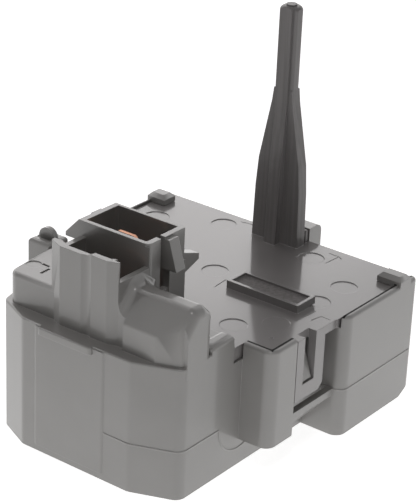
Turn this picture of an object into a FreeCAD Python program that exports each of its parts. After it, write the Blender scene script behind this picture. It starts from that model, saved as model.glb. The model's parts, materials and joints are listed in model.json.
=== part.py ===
import FreeCAD, Part
import math
import os

V = FreeCAD.Vector

# Wall thicknesses and clearances of the mouldings
wall = 2.4
floor_thick = 2.0
rim_wall = 1.5
side_rim_wall = 0.9
lid_gap = 0.5
side_lid_gap = 0.25
lid_thick = 2.0
fit_gap = 0.1
slide_gap = 0.3
reach = 60.0

# Plan of the housing; the origin is the axis of the common pin on the base
left_x = -36.0
left_straight_y = 8.0
left_corner_x = -22.8
left_corner_y = -43.3
bevel_x = -14.2
front_y = -47.2
turn_x = 14.3
lobe_right_x = 24.5
lobe_right_y = -43.1
right_block_x = 34.26
right_block_y = -1.2
rear_y = 26.5
front_block_x = 32.03
front_block_y = -24.0
pocket_y = -15.6
catch_wall_x = 29.0
corner_r = 2.5
rear_corner_r = 1.3
bend_r = 8.0

# Levels above the base
front_block_z = 6.0
parting_z = 11.15
parting_high = 0.35
parting_proud = 0.12
parting_dip_y = -31.0
ledge_z = 29.5
ledge_round = 0.4
rim_z = 28.3
rim_round = 0.8
rear_foot_back = 3.9
rear_foot_high = 2.1
lid_z = 27.7
tier_z = 36.5

# Lobe behind the ledge, and the wall that divides it from the tub
lobe_back_y = -25.5
lobe_room = 0.55

# Raised panel on the front face
panel_left_x = -10.9
panel_right_x = 8.0
panel_proud = 0.3
panel_z = 29.1
panel_foot_z = 1.5
panel_round = 0.8

# Lip at the panel's top
pad_left_x = -9.2
pad_right_x = 4.8
pad_proud = 0.8
pad_foot_z = 27.9
pad_deep = 2.5
pad_round = 0.7

# Raised tier at the left of the lobe
tier_front_y = -43.6
tier_left_x = -21.4
tier_back_x = -23.0
tier_back_y = -27.5
tier_round = 0.9
tier_wall = 2.0

# Shoulder at the right of the lobe
shoulder_front_y = -44.6
shoulder_rear_y = -33.9
shoulder_z = 41.0
shoulder_strip_z = 35.4
shoulder_rear_z = 38.7
shoulder_top_front_y = -39.6
shoulder_top_rear_y = -36.3
shoulder_inset = 0.9
shoulder_round = 2.2
shoulder_blend = 2.0
shoulder_strip_r = 1.0
shoulder_break_r = 2.0
blend_steps = 4
third_turn = 120
full_turn = 360
shoulder_wall = 2.2
pillar_x = 21.0
pillar_front_y = -34.2
pillar_rear_y = -27.0
pillar_z = 31.3
pillar_round = 1.2

# Connector shroud: front trough and rear compartment
shroud_wall = 1.3
shared_wall = 0.95
rear_cell_wall = 0.7
trough_front_y = -44.6
trough_left_x = -9.8
trough_bevel_x = -6.5
trough_bevel_y = -43.2
trough_right_x = 8.1
trough_right_bevel_x = 5.7
trough_right_bevel_y = -43.8
trough_low_z = 47.0
trough_high_z = 47.6
trough_left_end_z = 44.8
trough_right_end_z = 43.2
trough_end_lap = 0.4
step_x = 0.4
step_wide = 1.2
step_groove = 2.6
step_groove_deep = 0.35
cell_left_x = -10.5
cell_right_x = 7.8
cell_front_y = -34.4
cell_rear_y = -22.8
cell_corner_r = 1.2
cell_z = 48.2
cell_floor_z = 30.0
nose_reach = 3.5
nose_z = 44.5
nose_lip = 0.9
nose_thick = 2.4
side_slot_front_y = -30.5
side_slot_rear_y = -27.9
side_slot_z = 36.5
slit_wide = 1.3
ramp_z = 41.2
ramp_top_z = 47.7
ramp_reach = 3.1
ramp_tip = 1.1
ramp_wide = 2.9
column_reach = 0.4
rear_nose_reach = 5.0
rear_nose_z = 42.5
rear_nose_tip_z = 40.8
rear_nose_tip_foot_z = 39.5
rear_nose_foot_z = 37.6
rear_nose_wide = 2.4

# Lug and ear at the left end of the tier
lug_left_x = -29.3
lug_right_x = -23.6
lug_front_y = -28.9
lug_rear_y = -22.8
lug_foot_z = 24.0
lug_slot = 0.9
lug_slot_deep = 4.0
ear_r = 2.2
ear_thick = 1.2

# Snap catch, bridge bar and lid hooks
catch_y = -10.8
catch_wide = 3.1
catch_low_z = 17.1
catch_high_z = 25.0
catch_reach = 2.6
bar_low_z = 9.6
bar_high_z = 11.2
bar_thick = 1.6
hook_front_y = 19.4
hook_rear_y = 23.5
hook_high = 2.3
hook_left_reach = 5.0
hook_right_reach = 6.1
hook_bevel = 0.9
rear_lug_left_x = 0.3
rear_lug_right_x = 5.3
rear_lug_reach = 4.7
rear_lug_low_z = 20.0
rear_lug_high_z = 30.7
rear_lug_round = 1.8
lip_thick = 0.8
lip_gap = 0.8

# Front tab of the lid and its notch in the wall
tab_left_x = 21.5
tab_right_x = 24.0
tab_front_y = -26.6
tab_rear_y = -22.3
tab_drop = 3.0

# Lid
lid_front_x = 30.0
lid_front_y = -22.0
lid_round = 1.5
latch_x = 32.0
latch_thick = 1.8
latch_front_y = -15.3
latch_rear_y = -5.5
latch_front_leg = 2.5
latch_rear_leg = 3.3
latch_bar = 3.4
latch_foot_z = 13.4
latch_chamfer = 1.3
frame_left_x = 6.0
frame_right_x = 24.5
frame_front_y = -5.2
frame_rear_y = 1.2
frame_high = 1.8
frame_wall = 0.8
frame_sink = 0.6

# Cross-shaped post of the lid
post_x = -0.6
post_y = 22.6
post_arm = 3.0
post_z = 83.0
post_low_z = 40.0
post_mid_z = 46.8
post_high_z = 61.0
post_long_foot = 6.2
post_long_low = 5.9
post_long_mid = 5.4
post_long_high = 2.7
post_long_tip = 2.35
post_short_foot = 3.4
post_short_mid = 2.9
post_short_high = 1.75
post_short_tip = 1.95
post_tip_r = 2.5
post_tip_round = 1.0
post_disc_r = 1.2
post_disc_high = 0.35

# Compressor pins and their sockets
pin_r = 1.6
pin_spread_x = 7.1
pin_spread_y = 12.3
socket_wall = 0.9
socket_z = 12.8
socket_slot = 1.0
socket_band = 2.0
socket_flare = 0.5
pin_hole_r = 2.2
collar_wall = 1.4
collar_high = 6.0

# Copper strips
strip_thick = 0.8
strip_wide = 4.0
strip_round = 0.8
blade_wide = 6.3
blade_thick = 0.8
blade_taper = 1.1
line_x = -3.0
line_y = -28.0
line_tip_z = 45.4
neutral_x = 0.6
neutral_y = -38.6
neutral_tip_z = 43.0
common_turn_y = -7.0
run_left_x = -28.6
run_left_y = 5.0
start_left_x = -18.6
link_x = 19.0
link_z = 17.0
prop_r = 1.5

# Thermistor disc and its leaf springs
disc_x = -22.0
disc_y = 7.0
disc_z = 12.6
disc_r = 9.5
disc_thick = 3.0
disc_edge = 0.3
disc_clear = 1.0
cradle_z = 7.5
cradle_over = 1.6
cheek = 1.2
spring_wide = 5.0
spring_thick = 0.4
spring_foot = 3.0
spring_set = 1.6
spring_touch_z = 18.6
spring_flat = 1.0
spring_tip_z = 21.6

# Overload protector in the lobe
protector_x = 8.0
case_r = 9.3
case_wall = 1.5
case_top = 2.5
case_foot_z = 3.8
cover_thick = 0.5
cover_foot_z = 2.0
cover_lap = 3.2
contact_edge = 0.2
contact_room = 1.5
contact_thick = 0.8
rivet_r = 0.8
rivet_head_inset = 0.2
rivet_head = 0.7
bimetal_room = 0.9
bimetal_thick = 0.3
bimetal_dish = 0.5
stud_r = 1.5
stud_head_r = 2.6
stud_head = 0.8
stud_over = 3.2
nut_wide = 4.8
nut_sides = 6
nut_high = 2.4
heater_room = 0.3
heater_wide = 1.4
heater_thick = 0.4
heater_gap = 3.0
heater_z = 4.8
seat_rib = 1.6
seat_lap = 1.6
seat_x = 4.0
snap_reach = 1.5
snap_high = 1.5
snap_wide = 5.0

# Worked out: the lobe's depth, the contacts and the heater follow the protector's case, and the
# run strip passes behind the thermistor disc
divide_y = front_y + 2 * wall + 2 * (case_r + fit_gap + cover_thick + lobe_room)
bimetal_r = case_r - case_wall - bimetal_room
contact_r = (bimetal_r - stud_r - fit_gap - contact_room) / 2
contact_x = bimetal_r - contact_r - contact_edge
rivet_head_r = contact_r - rivet_head_inset
heater_r = case_r - case_wall - heater_room
run_back_y = disc_y + disc_r + disc_clear + strip_wide / 2


def box(x0, x1, y0, y1, z0, z1):
    return Part.makeBox(x1 - x0, y1 - y0, z1 - z0, V(x0, y0, z0))


def rounded_wire(corners, z):
    # Closed outline of (x, y, radius) corners, each rounded by its own radius
    starts = []
    ends = []
    mids = []
    count = len(corners)
    for i in range(count):
        x, y, r = corners[i]
        here = V(x, y, z)
        before = V(corners[i - 1][0], corners[i - 1][1], z) - here
        after = V(corners[(i + 1) % count][0], corners[(i + 1) % count][1], z) - here
        before.normalize()
        after.normalize()
        if r <= 0:
            starts.append(here)
            ends.append(here)
            mids.append(None)
            continue
        half = before.getAngle(after) / 2
        run = r / math.tan(half)
        inward = before + after
        inward.normalize()
        centre = here + inward * (r / math.sin(half))
        starts.append(here + before * run)
        ends.append(here + after * run)
        mids.append(centre - inward * r)
    edges = []
    for i in range(count):
        if mids[i] is not None:
            edges.append(Part.Arc(starts[i], mids[i], ends[i]).toShape())
        edges.append(Part.LineSegment(ends[i], starts[(i + 1) % count]).toShape())
    return Part.Wire(edges)


def prism(corners, z0, z1, grow=0.0):
    wire = rounded_wire(corners, z0)
    if grow:
        wire = wire.makeOffset2D(grow)
    return Part.Face(wire).extrude(V(0, 0, z1 - z0))


def profile_along_x(points, x0, x1):
    corners = [V(x0, y, z) for y, z in points]
    wire = Part.makePolygon(corners + [corners[0]])
    return Part.Face(wire).extrude(V(x1 - x0, 0, 0))


def profile_along_y(points, y0, y1):
    corners = [V(x, y0, z) for x, z in points]
    wire = Part.makePolygon(corners + [corners[0]])
    return Part.Face(wire).extrude(V(0, y1 - y0, 0))


def post_round(x, y, z0, z1, r):
    return Part.makeCylinder(r, z1 - z0, V(x, y, z0))


def top_edges(shape, z):
    found = []
    for edge in shape.Edges:
        if all(abs(v.Point.z - z) < fit_gap / 10 for v in edge.Vertexes):
            found.append(edge)
    return found


def slant_x(y):
    share = (left_straight_y - y) / (left_straight_y - left_corner_y)
    return left_x + share * (left_corner_x - left_x)


def deep_outline():
    return [
        (left_x, rear_y, rear_corner_r),
        (left_x, left_straight_y, bend_r),
        (left_corner_x, left_corner_y, corner_r),
        (bevel_x, front_y, corner_r),
        (turn_x, front_y, corner_r),
        (lobe_right_x, lobe_right_y, corner_r),
        (lobe_right_x, right_block_y, 0),
        (right_block_x, right_block_y, corner_r),
        (right_block_x, rear_y, rear_corner_r),
    ]


def upper_right():
    # Front block and the wall behind the latch, both above the open notch
    block_corners = [
        (lobe_right_x - wall, front_block_y, 0),
        (front_block_x, front_block_y, corner_r),
        (front_block_x, pocket_y, 0),
        (lobe_right_x - wall, pocket_y, 0),
    ]
    block = prism(block_corners, front_block_z, rim_z)
    outer = []
    for edge in top_edges(block, rim_z):
        if edge.BoundBox.XMax > lobe_right_x and edge.BoundBox.YMin < pocket_y - fit_gap:
            outer.append(edge)
    block = block.makeFillet(rim_round, outer)
    back = box(lobe_right_x - wall, catch_wall_x, pocket_y, right_block_y + wall, front_block_z, rim_z)
    return block.fuse(back)


def upper_right_cavity():
    hollow_z = front_block_z + floor_thick
    block = box(lobe_right_x - wall - fit_gap, front_block_x - wall, front_block_y + wall,
                pocket_y - wall, hollow_z, reach)
    back = box(lobe_right_x - wall - fit_gap, catch_wall_x - wall, pocket_y - wall - fit_gap,
               right_block_y + wall + fit_gap, hollow_z, reach)
    return block.fuse(back)


def parting_bead():
    # Fine raised line where the mould's halves met; it dips toward the front block
    band = prism(deep_outline(), 0, parting_z, parting_proud)
    dip_r = front_block_y - parting_dip_y
    dip = Part.makeCylinder(dip_r, corner_r, V(lobe_right_x, front_block_y, parting_z), V(1, 0, 0))
    band = band.cut(dip)
    under = band.translated(V(0, 0, -parting_high))
    bead = band.cut(under)
    return bead.common(box(panel_right_x - corner_r, reach, -reach, rear_y - rear_corner_r, 0, reach))


def tub_rim_cut():
    # Room for the lid: the wall is thinner above its underside, and ends before the rear
    under_z = lid_z - lid_thick
    inner = prism(deep_outline(), under_z, reach, -side_rim_wall)
    right = right_block_x - rim_wall
    inner = inner.common(box(-reach, right, lobe_back_y, reach, 0, reach))
    block = box(lobe_right_x - rim_wall, front_block_x - rim_wall, front_block_y + rim_wall,
                pocket_y + fit_gap, under_z, reach)
    latch_room = box(lobe_right_x - rim_wall, right, pocket_y, right_block_y + 2 * rim_wall, under_z,
                     reach)
    rear = box(left_x + side_rim_wall, right, rear_y - wall, reach, under_z, reach)
    return [inner, block, latch_room, rear]


def tub_cavity():
    deep = prism(deep_outline(), floor_thick, reach, -wall)
    return deep.common(box(-reach, reach, divide_y, reach, 0, reach))


def lobe_cavity():
    # Open at the base; its roof is lower where the lid's front edge lies over it
    deep = prism(deep_outline(), -floor_thick, ledge_z - wall, -wall)
    high = deep.common(box(-reach, reach, -reach, lobe_back_y - wall, -wall, reach))
    low_roof = lid_z - lid_thick - wall
    low = deep.common(box(-reach, reach, -reach, divide_y - wall, -wall, low_roof))
    return high.fuse(low)


def lobe_top():
    corners = deep_outline()
    block = prism(corners, 0, ledge_z)
    block = block.common(box(-reach, reach, -reach, lobe_back_y, 0, reach))
    rim = [e for e in top_edges(block, ledge_z) if e.BoundBox.YMin < lobe_back_y - fit_gap]
    return block.makeFillet(ledge_round, rim)


def front_panel():
    corners = [
        (panel_left_x, front_y - panel_proud, panel_round),
        (panel_right_x, front_y - panel_proud, panel_round),
        (panel_right_x, front_y + wall / 2, 0),
        (panel_left_x, front_y + wall / 2, 0),
    ]
    return prism(corners, panel_foot_z, panel_z)


def front_pad():
    # Short lip that stands out over the panel, rounded along its top and at its ends
    front = front_y - panel_proud - pad_proud
    corners = [
        (pad_left_x, front, pad_round),
        (pad_right_x, front, pad_round),
        (pad_right_x, front + pad_deep, 0),
        (pad_left_x, front + pad_deep, 0),
    ]
    block = prism(corners, pad_foot_z, ledge_z)
    outer = [e for e in top_edges(block, ledge_z) if e.BoundBox.YMin < front + pad_deep - fit_gap]
    return block.makeFillet(pad_round / 2, outer)


def rear_foot_bevel():
    # Slope under the rear wall's foot
    return profile_along_x([
        (rear_y - rear_foot_back, 0),
        (rear_y, rear_foot_high),
        (reach, rear_foot_high),
        (reach, -wall),
        (rear_y - rear_foot_back, -wall),
    ], -reach, reach)


def tier_outline(inset, right_x):
    return [
        (tier_left_x + inset, tier_front_y + inset, corner_r),
        (right_x, tier_front_y + inset, 0),
        (right_x, tier_back_y - inset, 0),
        (tier_back_x + inset, tier_back_y - inset, corner_r),
    ]


def tier():
    block = prism(tier_outline(0, trough_left_x + shroud_wall), ledge_z - wall, tier_z)
    return block.makeFillet(tier_round, top_edges(block, tier_z))


def tier_cavity():
    right_x = min(trough_left_x, cell_left_x) - shroud_wall
    return prism(tier_outline(tier_wall, right_x), ledge_z - 2 * wall, tier_z - tier_wall)


def shoulder_profile(inset):
    top = shoulder_z - inset
    foot = ledge_z - wall - inset
    return [
        (shoulder_front_y + inset, foot, 0),
        (shoulder_front_y + inset, shoulder_strip_z - inset / 2, shoulder_strip_r),
        (shoulder_top_front_y, top, shoulder_break_r),
        (shoulder_top_rear_y, top, shoulder_break_r),
        (shoulder_rear_y - inset, shoulder_rear_z - inset / 2, shoulder_strip_r),
        (shoulder_rear_y - inset, foot, 0),
    ]


def shoulder_wire(x, inset):
    # The outline is drawn flat and then turned, so that it stands across X
    wire = rounded_wire(shoulder_profile(inset), x)
    wire.rotate(V(0, 0, 0), V(1, 1, 1), third_turn)
    return wire


def shoulder():
    # Sloped block whose right end is rounded all along its outline
    start_x = trough_right_x + shoulder_blend
    block = Part.Face(shoulder_wire(start_x, 0)).extrude(V(lobe_right_x - start_x, 0, 0))
    right = []
    for edge in block.Edges:
        if edge.BoundBox.XMin > lobe_right_x - fit_gap and edge.BoundBox.ZMin > ledge_z - wall - fit_gap:
            if edge.BoundBox.ZMax > ledge_z:
                right.append(edge)
    block = block.makeFillet(shoulder_round, right)
    bound = prism(deep_outline(), 0, reach, -shoulder_inset)
    side = box(lobe_right_x - 2 * corner_r, lobe_right_x, shoulder_front_y + corner_r, shoulder_rear_y, 0,
               reach)
    return block.common(bound.fuse(side))


def shoulder_sweep():
    # Hollow quarter round that carries the shoulder's outline up the trough's end wall
    sections = []
    for step in range(blend_steps + 1):
        turn = math.pi / 2 * step / blend_steps
        x = trough_right_x + shoulder_blend * (1 - math.cos(turn))
        sections.append(shoulder_wire(x, shoulder_blend * (math.sin(turn) - 1)))
    sections.insert(0, shoulder_wire(trough_right_x - shroud_wall / 2, -shoulder_blend))
    sweep = Part.makeLoft(sections, True, True)
    return sweep.common(box(-reach, reach, trough_right_bevel_y, reach, ledge_z - wall, reach))


def shoulder_cavity():
    start_x = trough_right_x + shoulder_wall
    block = Part.Face(shoulder_wire(start_x, shoulder_wall))
    block = block.extrude(V(lobe_right_x - shoulder_wall - start_x, 0, 0))
    bound = prism(deep_outline(), 0, reach, -shoulder_inset - shoulder_wall)
    return block.common(bound)


def pillar():
    block = box(pillar_x, lobe_right_x, pillar_front_y, pillar_rear_y, ledge_z - wall, pillar_z)
    return block.makeFillet(pillar_round, top_edges(block, pillar_z))


def trough_outline(inset):
    return [
        (trough_left_x + inset, trough_bevel_y + inset, 0),
        (trough_bevel_x + inset / 2, trough_front_y + inset, 0),
        (trough_right_bevel_x, trough_front_y + inset, 0),
        (trough_right_x - inset, trough_right_bevel_y + inset, 0),
        (trough_right_x - inset, cell_front_y + fit_gap, 0),
        (trough_left_x + inset, cell_front_y + fit_gap, 0),
    ]


def cell_outline(grow_side, grow_front, grow_rear):
    return [
        (cell_left_x - grow_side, cell_front_y - grow_front, 0),
        (cell_right_x + grow_side, cell_front_y - grow_front, cell_corner_r + grow_side / 2),
        (cell_right_x + grow_side, cell_rear_y + grow_rear, 0),
        (cell_left_x - grow_side, cell_rear_y + grow_rear, 0),
    ]


def step_ramp():
    # The front wall's edge is low at the left and climbs over a short slope to the right
    low = trough_low_z
    return profile_along_y([
        (-reach, low),
        (step_x, low),
        (step_x + step_wide, trough_high_z),
        (step_x + step_wide, reach),
        (-reach, reach),
    ], -reach, cell_front_y - shroud_wall)


def shroud():
    # Two open cells of the connector, one behind the other
    trough = prism(trough_outline(0), ledge_z - wall, trough_high_z)
    cell = prism(cell_outline(0, 0, 0), lid_z - lid_thick - wall, cell_z)
    body = trough.fuse(cell)
    trough_room = prism(trough_outline(shroud_wall), cell_floor_z, reach)
    trough_room = trough_room.cut(box(-reach, reach, cell_front_y, reach, 0, reach))
    body = body.cut(trough_room)
    body = body.cut(prism(cell_outline(-shroud_wall, -shared_wall, -rear_cell_wall), cell_floor_z, reach))
    body = body.cut(step_ramp())
    left_end_y = trough_bevel_y + shroud_wall - trough_end_lap
    right_end_y = trough_right_bevel_y + trough_end_lap
    ends = [
        (trough_left_x - wall, trough_left_x + 2 * shroud_wall, left_end_y, trough_left_end_z),
        (trough_right_x - shroud_wall - fit_gap, trough_right_x + wall, right_end_y, trough_right_end_z),
    ]
    for x0, x1, y0, end_z in ends:
        body = body.cut(box(x0, x1, y0, cell_front_y, end_z, reach))
    groove = post_round(step_x, trough_front_y - step_groove + step_groove_deep, ledge_z, reach, step_groove)
    return body.cut(groove)


def shroud_noses():
    hook = profile_along_y([
        (cell_left_x + shroud_wall, cell_z),
        (cell_left_x, cell_z),
        (cell_left_x - nose_reach, nose_z),
        (cell_left_x - nose_reach, nose_z - nose_lip),
        (cell_left_x - nose_lip, nose_z - nose_lip),
        (cell_left_x + shroud_wall, nose_z - nose_reach),
    ], cell_front_y, cell_front_y + nose_thick)
    pieces = [hook]
    ramp_front_y = side_slot_front_y + slit_wide
    for side_x, way in ((cell_right_x, 1), (cell_left_x, -1)):
        pieces.append(profile_along_y([
            (side_x - way * shroud_wall / 2, ramp_top_z),
            (side_x + way * ramp_tip, ramp_top_z),
            (side_x + way * ramp_reach, ramp_z),
            (side_x - way * shroud_wall / 2, ramp_z),
        ], ramp_front_y, ramp_front_y + ramp_wide))
        low, high = sorted((side_x - way * shroud_wall / 2, side_x + way * column_reach))
        pieces.append(box(low, high, side_slot_rear_y, cell_rear_y, ledge_z - wall, ramp_z + fit_gap))
    pieces.append(profile_along_x([
        (cell_rear_y - rear_cell_wall / 2, rear_nose_z),
        (cell_rear_y, rear_nose_z),
        (cell_rear_y + rear_nose_reach, rear_nose_tip_z),
        (cell_rear_y + rear_nose_reach, rear_nose_tip_foot_z),
        (cell_rear_y - rear_cell_wall / 2, rear_nose_foot_z),
    ], cell_right_x - rear_nose_wide, cell_right_x))
    return pieces


def shroud_slots():
    # A slit that frees the snap nose, wider below it
    inner_x = cell_right_x - shroud_wall - fit_gap
    outer_x = cell_right_x + column_reach + fit_gap
    side = box(inner_x, outer_x, side_slot_front_y, side_slot_rear_y, side_slot_z, ramp_z)
    slit = box(inner_x, outer_x, side_slot_front_y, side_slot_front_y + slit_wide, side_slot_z, reach)
    return side.fuse(slit)


def left_lug():
    block = box(lug_left_x, lug_right_x, lug_front_y, lug_rear_y, lug_foot_z, tier_z)
    block = block.makeFillet(tier_round, top_edges(block, tier_z))
    slot_y = (lug_front_y + lug_rear_y) / 2 - lug_slot
    block = block.cut(box(-reach, lug_right_x - wall / 2, slot_y - lug_slot / 2, slot_y + lug_slot / 2,
                          tier_z - lug_slot_deep, reach))
    ear_x = (lug_left_x + lug_right_x) / 2
    ear = Part.makeCylinder(ear_r, ear_thick, V(ear_x, slot_y + lug_slot / 2, tier_z), V(0, 1, 0))
    ear = ear.cut(box(-reach, reach, -reach, reach, 0, tier_z - lug_slot))
    return block.fuse(ear)


def catch():
    wedge = profile_along_y([
        (catch_wall_x - wall / 2, catch_high_z),
        (catch_wall_x, catch_high_z),
        (catch_wall_x + catch_reach, catch_low_z + fit_gap),
        (catch_wall_x + catch_reach, catch_low_z),
        (catch_wall_x - wall / 2, catch_low_z),
    ], catch_y - catch_wide / 2, catch_y + catch_wide / 2)
    bar = box(front_block_x - bar_thick, front_block_x, pocket_y - wall / 2, right_block_y + wall / 2,
              bar_low_z, bar_high_z)
    return [wedge, bar]


def lid_hooks():
    # Blocks on the side walls that reach over the lid near its rear corners
    under = lid_z + fit_gap
    top = lid_z + hook_high
    left = box(left_x + side_rim_wall / 2, left_x + hook_left_reach, hook_front_y, hook_rear_y, under, top)
    left_stem = box(left_x, left_x + side_rim_wall, hook_front_y, hook_rear_y, lid_z - lid_thick, top)
    right = box(right_block_x - hook_right_reach, right_block_x - rim_wall / 2, hook_front_y, hook_rear_y,
                under, top)
    right_stem = box(right_block_x - rim_wall, right_block_x, hook_front_y, hook_rear_y,
                     lid_z - lid_thick, top)
    pair = []
    for arm, stem in ((left, left_stem), (right, right_stem)):
        hook = arm.fuse(stem).removeSplitter()
        pair.append(hook.makeChamfer(hook_bevel, top_edges(hook, top)))
    return pair


def rear_lug():
    block = box(rear_lug_left_x, rear_lug_right_x, rear_y - wall / 2, rear_y + rear_lug_reach,
                rear_lug_low_z, rear_lug_high_z)
    block = block.cut(box(-reach, reach, rear_y - wall, rear_y, lid_z - lid_thick - fit_gap, reach))
    rear_top = [e for e in top_edges(block, rear_lug_high_z)
                if e.BoundBox.YMin > rear_y + rear_lug_reach - fit_gap]
    return block.makeFillet(rear_lug_round, rear_top)


def pin_places():
    return [(0.0, 0.0), (-pin_spread_x, pin_spread_y), (pin_spread_x, pin_spread_y)]


def socket_r():
    return pin_r + socket_wall


def collars():
    inner = socket_r() + fit_gap
    rings = []
    for x, y in pin_places():
        ring = post_round(x, y, 0, floor_thick + collar_high, inner + collar_wall)
        rings.append(ring.cut(post_round(x, y, floor_thick, reach, inner)))
    return rings


def cradle():
    # Block with a round groove in which the disc stands on its edge
    half = disc_thick / 2 + fit_gap
    block = box(disc_x - half - cheek, disc_x + half + cheek, disc_y - disc_r - cradle_over,
                disc_y + disc_r + cradle_over, floor_thick / 2, cradle_z)
    bed = Part.makeCylinder(disc_r + fit_gap, 2 * half, V(disc_x - half, disc_y, disc_z), V(1, 0, 0))
    return block.cut(bed)


def props():
    # Posts on the floor under the outer ends of the copper strips
    places = [
        (run_left_x, run_back_y),
        (run_left_x, run_left_y + prop_r),
        (link_x, pin_spread_y),
        (start_left_x + prop_r, pin_spread_y),
    ]
    return [post_round(x, y, floor_thick / 2, socket_z - fit_gap / 2, prop_r) for x, y in places]


def protector_y():
    return (front_y + wall + divide_y - wall) / 2


def protector_top():
    return socket_z - strip_thick


def protector_seats():
    # Ribs that hang from the roof onto the case, and snap noses under its cover
    front = front_y + wall
    back = divide_y - wall
    case_front = protector_y() - case_r
    case_back = protector_y() + case_r
    foot = protector_top() + fit_gap
    pieces = []
    for side in (-1, 1):
        x = protector_x + side * seat_x
        pieces.append(box(x - seat_rib / 2, x + seat_rib / 2, front - wall / 2, case_front + seat_lap,
                          foot, ledge_z - wall / 2))
    x = protector_x - seat_x
    pieces.append(box(x - seat_rib / 2, x + seat_rib / 2, case_back - seat_lap, back + wall / 2,
                      foot, lid_z - lid_thick - wall / 2))
    top = cover_foot_z - fit_gap
    low = top - snap_high
    for base_y, way in ((front, 1), (back, -1)):
        pieces.append(profile_along_x([
            (base_y - way * wall / 2, top),
            (base_y + way * snap_reach, top),
            (base_y, low),
            (base_y - way * wall / 2, low),
        ], protector_x - snap_wide / 2, protector_x + snap_wide / 2))
    return pieces


def slots_for_strips():
    gap = fit_gap
    top = socket_z + fit_gap + strip_thick
    cut = [box(common_x0() - gap, common_x0() + strip_wide + gap, divide_y - wall - gap, divide_y + gap,
               socket_z, top + gap)]
    cut.append(box(link_x - strip_wide / 2 - gap, link_x + strip_wide / 2 + gap, divide_y - wall - gap,
                   divide_y + gap, link_z - gap, link_z + strip_thick + gap))
    for x, y in ((line_x, line_y), (neutral_x, neutral_y)):
        cut.append(box(x - blade_wide / 2 - gap, x + blade_wide / 2 + gap, y - blade_thick / 2 - gap,
                       y + blade_thick / 2 + gap, 0, reach))
    return cut


def common_x0():
    return protector_x + contact_x - strip_wide / 2


def make_housing():
    body = prism(deep_outline(), 0, rim_z)
    body = body.makeFillet(rim_round, top_edges(body, rim_z))
    body = body.common(box(-reach, reach, lobe_back_y - fit_gap, reach, 0, reach))
    body = body.fuse([lobe_top(), parting_bead(), front_panel(), front_pad(), upper_right()])
    for cutter in tub_rim_cut():
        body = body.cut(cutter)
    body = body.fuse([tier(), shoulder(), shoulder_sweep(), pillar(), shroud()])
    body = body.cut(tub_cavity())
    body = body.cut(lobe_cavity())
    body = body.cut(upper_right_cavity())
    body = body.cut(tier_cavity())
    body = body.cut(shoulder_cavity())
    body = body.fuse(shroud_noses() + [left_lug()] + catch() + lid_hooks() + [rear_lug()])
    body = body.fuse(collars() + [cradle()] + props() + protector_seats())
    body = body.cut(shroud_slots())
    for cutter in slots_for_strips():
        body = body.cut(cutter)
    for x, y in pin_places():
        body = body.cut(post_round(x, y, -wall, floor_thick + fit_gap, pin_hole_r))
    notch = box(tab_left_x - fit_gap, lobe_right_x + fit_gap, tab_front_y - slide_gap,
                tab_rear_y + slide_gap, lid_z - tab_drop - fit_gap, reach)
    body = body.cut(notch)
    body = body.cut(rear_foot_bevel())
    return body.removeSplitter()


def lid_outline():
    edge = rim_wall + lid_gap
    left_edge = side_rim_wall + side_lid_gap
    run = left_corner_x - left_x
    rise = left_straight_y - left_corner_y
    lean = left_edge * math.hypot(run, rise) / rise
    front = lobe_back_y + slide_gap
    cell_left = cell_left_x - column_reach - slide_gap
    cell_right = cell_right_x + column_reach + slide_gap
    return [
        (left_x + left_edge, rear_y, 0),
        (left_x + left_edge, left_straight_y, bend_r),
        (slant_x(lug_rear_y + slide_gap) + lean, lug_rear_y + slide_gap, 0),
        (lug_right_x + slide_gap, lug_rear_y + slide_gap, 0),
        (lug_right_x + slide_gap, front, 0),
        (cell_left, front, 0),
        (cell_left, cell_rear_y + slide_gap, 0),
        (cell_right, cell_rear_y + slide_gap, 0),
        (cell_right, front, 0),
        (tab_left_x, front, 0),
        (tab_left_x, tab_front_y, 0),
        (tab_right_x, tab_front_y, 0),
        (tab_right_x, lid_front_y, 0),
        (lid_front_x, lid_front_y, lid_round),
        (lid_front_x, latch_front_y, 0),
        (latch_x, latch_front_y, 0),
        (latch_x, right_block_y - lid_gap, 0),
        (right_block_x - edge, right_block_y - lid_gap, 0),
        (right_block_x - edge, rear_y, 0),
    ]


def latch():
    # U-shaped loop that hangs from the lid's edge and snaps under the catch
    foot = latch_foot_z
    corners = [
        (latch_front_y, lid_z),
        (latch_front_y, foot),
        (latch_rear_y - latch_chamfer, foot),
        (latch_rear_y, foot + latch_chamfer),
        (latch_rear_y, lid_z),
    ]
    loop = profile_along_x(corners, latch_x - latch_thick, latch_x)
    window = box(lid_front_x - fit_gap, reach, latch_front_y + latch_front_leg,
                 latch_rear_y - latch_rear_leg, foot + latch_bar, reach)
    return loop, window


def raised_frame():
    block = box(frame_left_x, frame_right_x, frame_front_y, frame_rear_y, lid_z - lid_thick / 2,
                lid_z + frame_high)
    pan = box(frame_left_x + frame_wall, frame_right_x - frame_wall, frame_front_y + frame_wall,
              frame_rear_y - frame_wall, lid_z + frame_high - frame_sink, reach)
    return block.cut(pan)


def arm_loft(sizes, across):
    sections = []
    for z, half in sizes:
        if across:
            a, b = half, post_arm / 2
        else:
            a, b = post_arm / 2, half
        sections.append(Part.makePolygon([
            V(post_x - a, post_y - b, z),
            V(post_x + a, post_y - b, z),
            V(post_x + a, post_y + b, z),
            V(post_x - a, post_y + b, z),
            V(post_x - a, post_y - b, z),
        ]))
    return Part.makeLoft(sections, True, True)


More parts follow.
